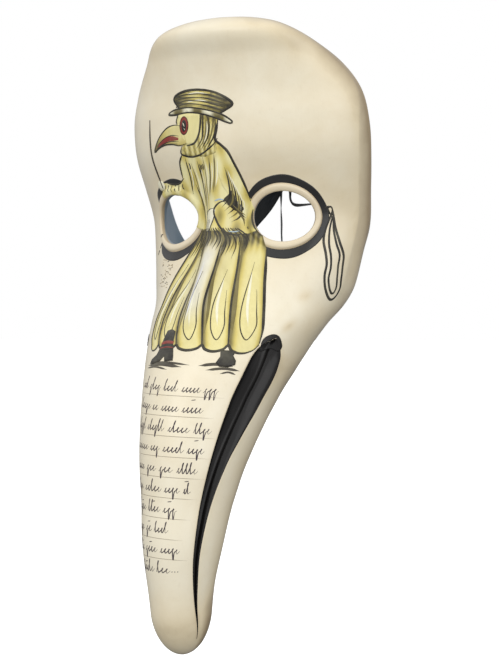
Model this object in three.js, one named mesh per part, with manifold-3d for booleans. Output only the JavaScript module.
// Plague doctor mask: a papier-mache face with a long hanging beak, raised eye rims, and a
// black ribbon tie knotted in a bow across the open back.
//
// Millimetres, +X towards the wearer's left, +Y towards the wearer's head, +Z up.
// Every part is modelled about the point midway between the eyes. The exported group is
// shifted so that its origin is the middle of the tie, where the mask hangs on a hook.
import * as THREE from 'three';
import { mergeVertices } from 'three/addons/utils/BufferGeometryUtils.js';
import Module from 'manifold-3d';

const wasm = await Module();
wasm.setup();

// ---- Driving dimensions ----------------------------------------------------------------

const TOP = 123.5;
const TIP = -268;
const CROWN_START = 45;
const CROWN_POWER = 2.6;
const TIP_START = -242;
const WALL = 2.8;
const GAP = 0.3;
const DEG = Math.PI / 180;

// Cross-sections of the mask at heights z. Each is an oval about a centre that lies `mid`
// behind the eyes: half its width, its reach forward and back, and the power of its front.
const SECTIONS = [
  { z: 123, mid: -8, half: 78, front: 34, back: 32, power: 2.0, ridge: 0, flare: 0 },
  { z: 114, mid: -7, half: 78, front: 36, back: 36, power: 2.0, ridge: 0, flare: 0 },
  { z: 98, mid: 11, half: 78.5, front: 43, back: 44, power: 2.0, ridge: 0, flare: 0 },
  { z: 79, mid: 24, half: 82.5, front: 49, back: 48, power: 1.95, ridge: 0, flare: 1 },
  { z: 60, mid: 28, half: 82, front: 51, back: 49, power: 2.0, ridge: 0.5, flare: 2.5 },
  { z: 41, mid: 31, half: 80.5, front: 52.5, back: 50, power: 2.0, ridge: 2, flare: 3 },
  { z: 20, mid: 36, half: 77.5, front: 50, back: 50, power: 1.95, ridge: 7, flare: 3 },
  { z: 0, mid: 40, half: 74.8, front: 48, back: 50, power: 1.9, ridge: 12, flare: 2.5 },
  { z: -21, mid: 37, half: 71.3, front: 50.5, back: 45, power: 1.9, ridge: 14, flare: 2 },
  { z: -43, mid: 30, half: 66.5, front: 57, back: 56, power: 1.85, ridge: 10, flare: 0.5 },
  { z: -55, mid: 22, half: 62, front: 59, back: 59, power: 1.8, ridge: 6, flare: 0 },
  { z: -67, mid: 11, half: 56.5, front: 58, back: 53, power: 1.9, ridge: 2.5, flare: 0 },
  { z: -81, mid: -2, half: 50.5, front: 55.5, back: 55, power: 2, ridge: 0, flare: 0 },
  { z: -98, mid: -15.5, half: 45, front: 52, back: 53, power: 2, ridge: 0, flare: 0 },
  { z: -115, mid: -28.5, half: 40, front: 46.3, back: 49, power: 2, ridge: 0, flare: 0 },
  { z: -145, mid: -44.2, half: 33, front: 38.8, back: 40.2, power: 2, ridge: 0, flare: 0 },
  { z: -175, mid: -54.4, half: 27, front: 31.6, back: 32.7, power: 2, ridge: 0, flare: 0 },
  { z: -204, mid: -60.2, half: 22.7, front: 27.6, back: 27.6, power: 2, ridge: 0, flare: 0 },
  { z: -234, mid: -62, half: 18.3, front: 22.2, back: 22.2, power: 2, ridge: 0, flare: 0 },
  { z: -268, mid: -60.2, half: 16, front: 19, back: 19, power: 2, ridge: 0, flare: 0 },
];
const RIDGE_WIDTH = 10;
const TIP_ROUNDING_POWER = 2;

// The mouth line: a recess down each side of the beak between two edges, in degrees round
// from the front, widest near its rounded upper end and closing towards the tip.
const GROOVE_FRONT = [
  [-77, 59], [-79.5, 53.5], [-83, 49.5], [-90, 47.5], [-119, 47.3], [-176, 46], [-209, 46.5],
  [-226, 51], [-242, 59], [-257, 69],
];
const GROOVE_BACK = [
  [-77, 59], [-79.5, 63.5], [-83, 68], [-90, 75], [-104, 82], [-117, 83], [-127, 80],
  [-139, 75], [-152, 69], [-176, 62], [-204, 57], [-226, 60], [-242, 64], [-257, 70],
];
const GROOVE_DEPTH = [[-77, 3.5], [-84, 5.5], [-130, 5.5], [-186, 3.6], [-233, 1.8], [-257, 0.4]];
const GROOVE_TOP = -77;
const GROOVE_END = -257;
// Across the groove, as shares from front to back: a steep front bank, then a long back bank.
const FRONT_BANK = 0.16;
const BACK_BANK = 0.45;
const NARROWEST_GROOVE = 0.5;

const EYE_X = 37.5;
const EYE_Z = -1.4;
const EYE_YAW = 16;
const EYE_HALF_WIDTH = 19.3;
const EYE_HALF_HEIGHT = 16;
const EYE_RIM_WIDTH = 4.4;
const EYE_RIM_HEIGHT = 2.4;
const EYE_STEPS = 36;
// Distance out from the hole's edge, and height over the mask's face, as shares of the rim.
const EYE_RIM_SECTION = [
  [0, 0], [0.02, 0.55], [0.25, 0.9], [0.5, 1], [0.75, 0.85], [0.98, 0.4], [1, 0],
];

// The open back: a flat rim that leans forward at the top, then a cut-away for the chin.
const RIM_AT_EYES = 49.8;
const RIM_LEAN = 17.7;
const JAW_Z = -43;
const CHIN_Y = 15;
const CHIN_Z = -108;
const CHIN_BOTTOM = -122;
const CHIN_UNDERCUT = 2;
const OUTLINE_CORNER = 12;

// The lower jaw of the beak is its own casting, glued in along the floor of the mouth line.
const JAW_JOINT_TOP = -70;
const JAW_JOINT_SHARE = 0.6;
const STRIP_WALL = 1;
const STRIP_CLEARANCE = [10, 5];
const PATCH_WALL = 1.2;
const PATCH_ANGLES = [96, 101, 106];
const PATCH_HEIGHTS = [31, 24.5, 18];

// The ribbon tie.
const RIBBON_WIDTH = 12;
const RIBBON_THICK = 1;
const RIBBON_ROWS = 4;
const HOOK = new THREE.Vector3(0, 48.5, 30);
const KNOT = new THREE.Vector3(8, 51.5, 28);
const KNOT_RADIUS = 6;
const KNOT_SEGMENTS = [14, 10];
const TEMPLE_Z = 24;

// ---- Small helpers ---------------------------------------------------------------------

// Smooth curve through [position, value] pairs, listed in falling order of position.
function curveThrough(keys) {
  const slope = (i) => {
    const a = keys[Math.max(i - 1, 0)];
    const b = keys[Math.min(i + 1, keys.length - 1)];
    return (b[1] - a[1]) / (b[0] - a[0]);
  };
  return (position) => {
    if (position >= keys[0][0]) return keys[0][1];
    if (position <= keys[keys.length - 1][0]) return keys[keys.length - 1][1];
    let i = 0;
    while (keys[i + 1][0] > position) i += 1;
    const span = keys[i + 1][0] - keys[i][0];
    const t = (position - keys[i][0]) / span;
    const rise = keys[i + 1][1] - keys[i][1];
    const bend = t * (1 - t);
    const lead = (slope(i) * span - rise) * (1 - t);
    const trail = (rise - slope(i + 1) * span) * t;
    return keys[i][1] + t * rise + bend * (lead + trail);
  };
}

function smoothStep(low, high, value) {
  const t = Math.min(Math.max((value - low) / (high - low), 0), 1);
  return t * t * (3 - 2 * t);
}

// Closed body from rows of points, each row a closed loop, capped at both ends.
function bodyFromLoops(loops) {
  const count = loops[0].length;
  const positions = [];
  const indices = [];
  loops.flat().forEach((p) => positions.push(p.x, p.y, p.z));
  for (let row = 0; row < loops.length - 1; row += 1) {
    for (let i = 0; i < count; i += 1) {
      const a = row * count + i;
      const b = row * count + ((i + 1) % count);
      indices.push(a, b, b + count, a, b + count, a + count);
    }
  }
  const last = (loops.length - 1) * count;
  for (let i = 1; i < count - 1; i += 1) {
    indices.push(0, i + 1, i);
    indices.push(last, last + i, last + i + 1);
  }
  return closedGeometry(positions, indices);
}

// Closed ring from loops that follow each other round and meet.
function ringFromLoops(loops) {
  const count = loops[0].length;
  const positions = loops.flat().flatMap((p) => [p.x, p.y, p.z]);
  const indices = [];
  for (let row = 0; row < loops.length; row += 1) {
    const after = ((row + 1) % loops.length) * count;
    for (let i = 0; i < count; i += 1) {
      const next = (i + 1) % count;
      const a = row * count;
      indices.push(a + i, a + next, after + next, a + i, after + next, after + i);
    }
  }
  return closedGeometry(positions, indices);
}

function closedGeometry(positions, indices) {
  const geometry = new THREE.BufferGeometry();
  geometry.setAttribute('position', new THREE.Float32BufferAttribute(positions, 3));
  geometry.setIndex(indices);
  if (signedVolume(geometry) < 0) {
    geometry.setIndex(indices.map((_, i) => indices[i - (i % 3) + (2 - (i % 3))]));
  }
  return geometry;
}

function signedVolume(geometry) {
  const index = geometry.getIndex();
  const position = geometry.getAttribute('position');
  const corner = (i) => new THREE.Vector3().fromBufferAttribute(position, index.getX(i));
  let volume = 0;
  for (let i = 0; i < index.count; i += 3) {
    volume += corner(i).dot(corner(i + 1).cross(corner(i + 2))) / 6;
  }
  return volume;
}

function solidOf(geometry) {
  const plain = geometry.clone();
  plain.deleteAttribute('normal');
  plain.deleteAttribute('uv');
  const merged = mergeVertices(plain, 1e-4);
  const position = merged.getAttribute('position');
  const vertProperties = new Float32Array(position.array);
  const triVerts = new Uint32Array(merged.getIndex().array);
  return new wasm.Manifold(new wasm.Mesh({ numProp: 3, vertProperties, triVerts }));
}

function geometryOf(solid) {
  const mesh = solid.getMesh();
  const geometry = new THREE.BufferGeometry();
  geometry.setAttribute('position', new THREE.BufferAttribute(mesh.vertProperties, 3));
  geometry.setIndex(new THREE.BufferAttribute(mesh.triVerts, 1));
  return geometry;
}

// ---- The mask's surface ----------------------------------------------------------------

const profile = {};
['mid', 'half', 'front', 'back', 'power', 'ridge', 'flare'].forEach((name) => {
  profile[name] = curveThrough(SECTIONS.map((section) => [section.z, section[name]]));
});
const grooveFront = curveThrough(GROOVE_FRONT);
const grooveBack = curveThrough(GROOVE_BACK);
const grooveDepth = curveThrough(GROOVE_DEPTH);

// Both ends round off: the crown over the forehead and the tip of the beak.
function rounding(z) {
  if (z > CROWN_START) {
    const rise = ((z - CROWN_START) / (TOP - CROWN_START)) ** CROWN_POWER;
    return Math.max(1 - rise, 0) ** (1 / CROWN_POWER);
  }
  if (z < TIP_START) {
    const fall = ((TIP_START - z) / (TIP_START - TIP)) ** TIP_ROUNDING_POWER;
    return Math.sqrt(Math.max(1 - fall, 0));
  }
  return 1;
}

// Distance from a section's centre to the smooth outer face, `angle` radians from the front.
function hullRadius(angle, z) {
  const shrink = rounding(z);
  const side = Math.abs(Math.sin(angle));
  const ahead = Math.cos(angle);
  const half = profile.half(z) * shrink;
  if (ahead <= 0) {
    return 1 / Math.hypot(side / half, ahead / (profile.back(z) * shrink));
  }
  const power = profile.power(z);
  const wide = half + profile.flare(z) * shrink;
  const across = (side / wide) ** power;
  const along = (ahead / (profile.front(z) * shrink)) ** power;
  const oval = 1 / (across + along) ** (1 / power);
  const nose = profile.ridge(z) * Math.exp(-((oval * side / RIDGE_WIDTH) ** 2));
  const straightAhead = 0.01;
  return Math.min(oval + nose, half / Math.max(side, straightAhead));
}

function hullPoint(angle, z) {
  const radius = hullRadius(angle, z);
  return new THREE.Vector3(
    radius * Math.sin(angle),
    profile.mid(z) - radius * Math.cos(angle),
    z,
  );
}

function hullNormal(angle, z) {
  const turn = 0.01;
  const highest = 0.4;
  const nearEnd = 0.05;
  const climb = Math.min(highest, nearEnd * (TOP - z), nearEnd * (z - TIP));
  const round = hullPoint(angle + turn, z).sub(hullPoint(angle - turn, z));
  const up = hullPoint(angle, z + climb).sub(hullPoint(angle, z - climb));
  return round.cross(up).normalize();
}

function recess(angle, z) {
  if (z > GROOVE_TOP || z < GROOVE_END) return 0;
  const front = grooveFront(z);
  const width = Math.max(grooveBack(z) - front, NARROWEST_GROOVE);
  const across = (Math.abs(angle) / DEG - front) / width;
  const fall = smoothStep(0, FRONT_BANK, across);
  const climb = smoothStep(BACK_BANK, 1, across);
  return grooveDepth(z) * fall * (1 - climb);
}

// A point of the wall, `inset` under its outer face.
function wallPoint(angle, z, inset) {
  const point = hullPoint(angle, z);
  const radial = new THREE.Vector3(Math.sin(angle), -Math.cos(angle), 0);
  point.addScaledVector(radial, -recess(angle, z));
  return point.addScaledVector(hullNormal(angle, z), -inset);
}

// ---- Where the surface is sampled --------------------------------------------------------

const FRONT_STEPS = 6;
const GROOVE_STEPS = [0.16, 0.38, 0.6, 0.82, 1];
const BACK_STEPS = 7;
const CROWN_ROWS = 8;
const TIP_ROWS = 5;
const FACE_ROWS = [
  31, 18, 6, -6, -18, -30, -42, -53, -63, -72, -77.5, -80.5, -84, -91, -100, -110,
];
const BEAK_FIRST_ROW = -121;
const BEAK_STEP = 13;
const grooveGuideFront = curveThrough([[-80, 47.5], [-176, 46], [-209, 46.5], [-257, 60]]);
const grooveGuideBack = curveThrough([[-124, 80], [-139, 75], [-176, 62], [-204, 58], [-257, 74]]);

// Angles in radians from the front round one side to the back, at height z.
function sideAngles(z) {
  const front = grooveGuideFront(z);
  const back = grooveGuideBack(z);
  const degrees = [];
  for (let i = 0; i <= FRONT_STEPS; i += 1) degrees.push((front * i) / FRONT_STEPS);
  GROOVE_STEPS.forEach((share) => degrees.push(front + (back - front) * share));
  for (let i = 1; i <= BACK_STEPS; i += 1) degrees.push(back + ((180 - back) * i) / BACK_STEPS);
  return degrees.map((value) => value * DEG);
}

function ringAngles(z) {
  const side = sideAngles(z);
  const mirrored = side.slice(1, -1).reverse().map((angle) => -angle);
  return side.concat(mirrored);
}

// Heights of the rings from crown to tip, closer together where either end rounds off.
function heights() {
  const list = [];
  for (let i = 1; i <= CROWN_ROWS; i += 1) {
    const share = Math.sin((1 - i / CROWN_ROWS) * Math.PI / 2);
    list.push(CROWN_START + (TOP - CROWN_START) * Math.max(share, 0));
  }
  list.push(...FACE_ROWS);
  for (let z = BEAK_FIRST_ROW; z > TIP_START + 1; z -= BEAK_STEP) list.push(z);
  list.push(TIP_START);
  for (let i = 1; i < TIP_ROWS; i += 1) {
    list.push(TIP_START - (TIP_START - TIP) * Math.sin((i / TIP_ROWS) * Math.PI / 2));
  }
  return list;
}

// Closed surface `inset` under the outer face, from crown to tip.
function skin(inset) {
  const rows = heights();
  const rings = rows.map((z) => ringAngles(z).map((angle) => wallPoint(angle, z, inset)));
  const crown = new THREE.Vector3(0, profile.mid(TOP), TOP - inset);
  const tip = new THREE.Vector3(0, profile.mid(TIP), TIP + inset);
  const count = rings[0].length;
  const points = [crown].concat(rings.flat(), [tip]);
  const positions = points.flatMap((p) => [p.x, p.y, p.z]);
  const indices = [];
  for (let i = 0; i < count; i += 1) {
    const next = (i + 1) % count;
    indices.push(0, 1 + i, 1 + next);
    for (let row = 0; row < rings.length - 1; row += 1) {
      const a = 1 + row * count + i;
      const b = 1 + row * count + next;
      indices.push(a, a + count, b + count, a, b + count, b);
    }
    const base = 1 + (rings.length - 1) * count;
    indices.push(base + i, points.length - 1, base + next);
  }
  return closedGeometry(positions, indices);
}

// ---- Face and lower jaw ------------------------------------------------------------------

// Everything behind the rear rim and inside the chin cut-away, drawn from the side.
function rearCutter() {
  const lean = Math.tan(RIM_LEAN * DEG);
  const high = 200;
  const far = 250;
  const jawY = RIM_AT_EYES - lean * JAW_Z;
  const chin = new THREE.Vector2(CHIN_Y, CHIN_Z);
  const jaw = new THREE.Vector2(jawY, JAW_Z);
  const towardsChin = chin.clone().sub(jaw).normalize();
  const beforeJaw = new THREE.Vector2(jawY - OUTLINE_CORNER * lean, JAW_Z + OUTLINE_CORNER);
  const afterJaw = jaw.clone().addScaledVector(towardsChin, OUTLINE_CORNER);
  const beforeChin = chin.clone().addScaledVector(towardsChin, -OUTLINE_CORNER);
  const shape = new THREE.Shape();
  shape.moveTo(RIM_AT_EYES - lean * high, high);
  shape.lineTo(beforeJaw.x, beforeJaw.y);
  shape.quadraticCurveTo(jaw.x, jaw.y, afterJaw.x, afterJaw.y);
  shape.lineTo(beforeChin.x, beforeChin.y);
  shape.quadraticCurveTo(
    CHIN_Y - CHIN_UNDERCUT,
    CHIN_BOTTOM,
    CHIN_Y + OUTLINE_CORNER,
    CHIN_BOTTOM,
  );
  shape.lineTo(far, CHIN_BOTTOM);
  shape.lineTo(far, high);
  shape.closePath();
  const options = { depth: 2 * far, bevelEnabled: false, curveSegments: 6 };
  const geometry = new THREE.ExtrudeGeometry(shape, options);
  geometry.translate(0, 0, -far);
  // The outline's x becomes depth, its y becomes height, and the extrusion runs side to side.
  geometry.applyMatrix4(new THREE.Matrix4().makeBasis(
    new THREE.Vector3(0, 1, 0),
    new THREE.Vector3(0, 0, 1),
    new THREE.Vector3(1, 0, 0),
  ));
  return solidOf(geometry);
}

// The outer edge of the hollow behind an eye, an oval prism along the eye's own axis.
function eyeCutter(side) {
  const reach = 44;
  const oval = new THREE.CylinderGeometry(1, 1, reach, EYE_STEPS);
  oval.scale(EYE_HALF_WIDTH, 1, EYE_HALF_HEIGHT);
  oval.rotateX(Math.PI);
  oval.rotateZ(side * EYE_YAW * DEG);
  oval.translate(side * EYE_X, 0, EYE_Z);
  return solidOf(oval);
}

// The angle of the joint line, a fixed share of the way across the groove's floor.
function jointAngle(z) {
  const belowRoundEnd = 3;
  const level = Math.min(z, GROOVE_TOP - belowRoundEnd);
  const front = grooveFront(level);
  return (front + (grooveBack(level) - front) * JAW_JOINT_SHARE) * DEG;
}

// A fan of space behind the joint line, wide of it by `margin`.
function jawCutter(margin) {
  const reach = 160;
  const fanSteps = 8;
  const rowStep = 12;
  const beyondTip = 20;
  const wallRadius = 30;
  const levels = [JAW_JOINT_TOP + margin];
  for (let z = JAW_JOINT_TOP - rowStep / 2; z > TIP; z -= rowStep) levels.push(z);
  levels.push(TIP - beyondTip);
  const loops = levels.map((z) => {
    const centre = new THREE.Vector3(0, profile.mid(z), z);
    const start = jointAngle(z) - margin / wallRadius;
    const loop = [centre];
    for (let i = 0; i <= fanSteps; i += 1) {
      const angle = start + (2 * (Math.PI - start) * i) / fanSteps;
      const out = new THREE.Vector3(Math.sin(angle), -Math.cos(angle), 0);
      loop.push(centre.clone().addScaledVector(out, reach));
    }
    return loop;
  });
  return solidOf(bodyFromLoops(loops));
}

function shells() {
  let wall = solidOf(skin(0)).subtract(solidOf(skin(WALL)));
  wall = wall.subtract(rearCutter());
  wall = wall.subtract(eyeCutter(1)).subtract(eyeCutter(-1));
  return {
    face: geometryOf(wall.subtract(jawCutter(GAP / 2))),
    jaw: geometryOf(wall.intersect(jawCutter(-GAP / 2))),
  };
}

// A strip of glued paper inside the beak, bridging the joint on one side.
function jointStrip(side) {
  const first = FRONT_STEPS;
  const last = FRONT_STEPS + GROOVE_STEPS.length;
  const [fromTop, fromTip] = STRIP_CLEARANCE;
  const rows = heights().filter((z) => z < GROOVE_TOP - fromTop && z > TIP_START + fromTip);
  const loops = rows.map((z) => {
    const angles = sideAngles(z).slice(first, last + 1).map((angle) => side * angle);
    const near = angles.map((angle) => wallPoint(angle, z, WALL));
    const deep = angles.map((angle) => wallPoint(angle, z, WALL + GAP + STRIP_WALL));
    return near.concat(deep.reverse());
  });
  return geometryOf(solidOf(bodyFromLoops(loops)).intersect(solidOf(skin(WALL + GAP))));
}

// ---- Eye rims --------------------------------------------------------------------------

// The point of the outer face that lies `across` and `up` from an eye's centre.
function eyePoint(side, across, up) {
  const yaw = EYE_YAW * DEG;
  const halvings = 40;
  const z = EYE_Z + up;
  let low = 5 * DEG;
  let high = 88 * DEG;
  for (let i = 0; i < halvings; i += 1) {
    const middle = (low + high) / 2;
    const point = hullPoint(middle, z);
    const offset = (point.x - EYE_X) * Math.cos(yaw) + point.y * Math.sin(yaw);
    if (offset < across) low = middle;
    else high = middle;
  }
  const point = hullPoint(low, z);
  const normal = hullNormal(low, z);
  point.x *= side;
  normal.x *= side;
  return { point, normal };
}

function eyeRim(side) {
  const inset = 0.2;
  const sunk = -1;
  const loops = [];
  for (let i = 0; i < EYE_STEPS; i += 1) {
    const turn = (i / EYE_STEPS) * 2 * Math.PI;
    loops.push(EYE_RIM_SECTION.map(([out, height]) => {
      const grow = inset + out * EYE_RIM_WIDTH;
      const across = (EYE_HALF_WIDTH + grow) * Math.cos(turn);
      const up = (EYE_HALF_HEIGHT + grow) * Math.sin(turn);
      const { point, normal } = eyePoint(side, across, up);
      const rise = height > 0 ? height * EYE_RIM_HEIGHT + GAP : sunk;
      return point.addScaledVector(normal, rise);
    }));
  }
  return geometryOf(solidOf(ringFromLoops(loops)).subtract(solidOf(skin(-GAP))));
}

// ---- Ribbon tie ------------------------------------------------------------------------

// A flat strip along a smooth route. Each stop gives a place and the way the width points.
function ribbon(stops) {
  const steps = RIBBON_ROWS * (stops.length - 1);
  const route = new THREE.CatmullRomCurve3(stops.map((stop) => stop.at));
  const loops = [];
  for (let i = 0; i <= steps; i += 1) {
    const t = i / steps;
    const place = route.getPoint(t);
    const along = route.getTangent(t);
    const from = Math.min(Math.floor(t * (stops.length - 1)), stops.length - 2);
    const share = t * (stops.length - 1) - from;
    const wide = stops[from].wide.clone().lerp(stops[from + 1].wide, share);
    wide.addScaledVector(along, -wide.dot(along)).normalize();
    const flat = new THREE.Vector3().crossVectors(along, wide);
    const corner = (w, f) => place.clone()
      .addScaledVector(wide, (w * RIBBON_WIDTH) / 2)
      .addScaledVector(flat, (f * RIBBON_THICK) / 2);
    loops.push([corner(-1, -1), corner(1, -1), corner(1, 1), corner(-1, 1)]);
  }
  return bodyFromLoops(loops);
}

const v3 = (x, y, z) => new THREE.Vector3(x, y, z);
const UPRIGHT = v3(0, 0, 1);
// One loop and one tail hang edge-on to the eye holes, the other tail hangs broadside.
const EDGE_ON = v3(-0.485, 0.875, 0);
const BACKWARD = v3(0, 1, 0);

const ROUTES = {
  strand_left: [
    { at: v3(66.5, 36, TEMPLE_Z), wide: UPRIGHT },
    { at: v3(40, 43.5, 26), wide: UPRIGHT },
    { at: v3(14.8, 48, 28), wide: UPRIGHT },
  ],
  strand_right: [
    { at: v3(-66.5, 36, TEMPLE_Z), wide: UPRIGHT },
    { at: v3(-35, 43, 27.5), wide: UPRIGHT },
    { at: v3(0, 48, 30), wide: UPRIGHT },
    { at: v3(1.5, 48.2, 29.9), wide: UPRIGHT },
  ],
  loop_left: [
    { at: v3(13.6, 56.5, 31.5), wide: BACKWARD },
    { at: v3(24, 57, 36), wide: BACKWARD },
    { at: v3(38, 57, 34), wide: BACKWARD },
    { at: v3(47, 57, 23), wide: BACKWARD },
    { at: v3(45, 56.5, 14.5), wide: EDGE_ON },
    { at: v3(35, 56, 10.6), wide: EDGE_ON },
    { at: v3(24, 55.5, 9.8), wide: EDGE_ON },
    { at: v3(15.6, 55.5, 10.2), wide: EDGE_ON },
    { at: v3(12.7, 55.5, 13.4), wide: EDGE_ON },
    { at: v3(12.2, 55.5, 19.4), wide: EDGE_ON },
  ],
  loop_right: [
    { at: v3(2.2, 57, 31.5), wide: BACKWARD },
    { at: v3(-9, 57.5, 35), wide: BACKWARD },
    { at: v3(-24, 57.5, 30), wide: BACKWARD },
    { at: v3(-36, 57, 16), wide: BACKWARD },
    { at: v3(-41, 57, 0), wide: BACKWARD },
    { at: v3(-36, 57, -9), wide: BACKWARD },
    { at: v3(-27, 57, -5), wide: BACKWARD },
    { at: v3(-17, 57, 10), wide: BACKWARD },
    { at: v3(-9, 57, 20), wide: BACKWARD },
    { at: v3(1.6, 57, 27), wide: BACKWARD },
  ],
  tail_left: [
    { at: v3(5.6, 55.5, 20.8), wide: EDGE_ON },
    { at: v3(5.6, 55.5, 8), wide: EDGE_ON },
    { at: v3(6.4, 55.5, -16), wide: EDGE_ON },
    { at: v3(7.5, 56, -45), wide: v3(-0.2, 0.98, 0) },
    { at: v3(7, 56.5, -76), wide: v3(0.3, 0.95, 0) },
  ],
  tail_right: [
    { at: v3(2.2, 50.6, 16.2), wide: v3(-0.77, 0, 0.64) },
    { at: v3(-6, 50.3, 7.5), wide: v3(-0.77, 0, 0.64) },
    { at: v3(-17, 49.8, -4.5), wide: v3(-0.77, 0, 0.64) },
    { at: v3(-26, 50, -22), wide: v3(-0.9, 0.2, 0.4) },
    { at: v3(-27.5, 51, -46), wide: v3(-0.9, 0.4, 0.1) },
    { at: v3(-26, 51.5, -68), wide: v3(-0.8, 0.6, 0) },
  ],
};

// The pulled-up knot: a squat rounded body across the tie.
function knot() {
  const ball = new THREE.SphereGeometry(KNOT_RADIUS, ...KNOT_SEGMENTS);
  ball.translate(KNOT.x, KNOT.y, KNOT.z);
  return geometryOf(solidOf(ball));
}

// A glued patch inside each temple, holding the end of the ribbon against the wall.
function templePatch(side) {
  const angles = PATCH_ANGLES.map((degrees) => side * degrees * DEG);
  const loops = PATCH_HEIGHTS.map((z) => {
    const near = angles.map((angle) => wallPoint(angle, z, WALL));
    const deep = angles.map((angle) => wallPoint(angle, z, WALL + GAP + PATCH_WALL));
    return near.concat(deep.reverse());
  });
  return geometryOf(solidOf(bodyFromLoops(loops)).intersect(solidOf(skin(WALL + GAP))));
}

// ---- The assembly ------------------------------------------------------------------------

const MATERIALS = {
  ivory: { color: '#e6d9b4', roughness: 0.35, metalness: 0 },
  paper: { color: '#23211c', roughness: 0.5, metalness: 0 },
  satin: { color: '#0f0e0d', roughness: 0.4, metalness: 0 },
};

const mask = new THREE.Group();
mask.position.copy(HOOK).negate();

function addPart(name, geometry, material) {
  const plain = geometry.index ? geometry.toNonIndexed() : geometry;
  const part = new THREE.Mesh(plain, new THREE.MeshStandardMaterial(MATERIALS[material]));
  part.name = name;
  mask.add(part);
}

const castings = shells();
addPart('face_shell', castings.face, 'ivory');
addPart('lower_jaw_shell', castings.jaw, 'ivory');
[['left', 1], ['right', -1]].forEach(([name, side]) => {
  addPart(`eye_rim_${name}`, eyeRim(side), 'ivory');
  addPart(`joint_strip_${name}`, jointStrip(side), 'paper');
  addPart(`temple_patch_${name}`, templePatch(side), 'paper');
  addPart(`tie_strand_${name}`, ribbon(ROUTES[`strand_${name}`]), 'satin');
  addPart(`bow_loop_${name}`, ribbon(ROUTES[`loop_${name}`]), 'satin');
  addPart(`bow_tail_${name}`, ribbon(ROUTES[`tail_${name}`]), 'satin');
});
addPart('bow_knot', knot(), 'satin');

export default mask;
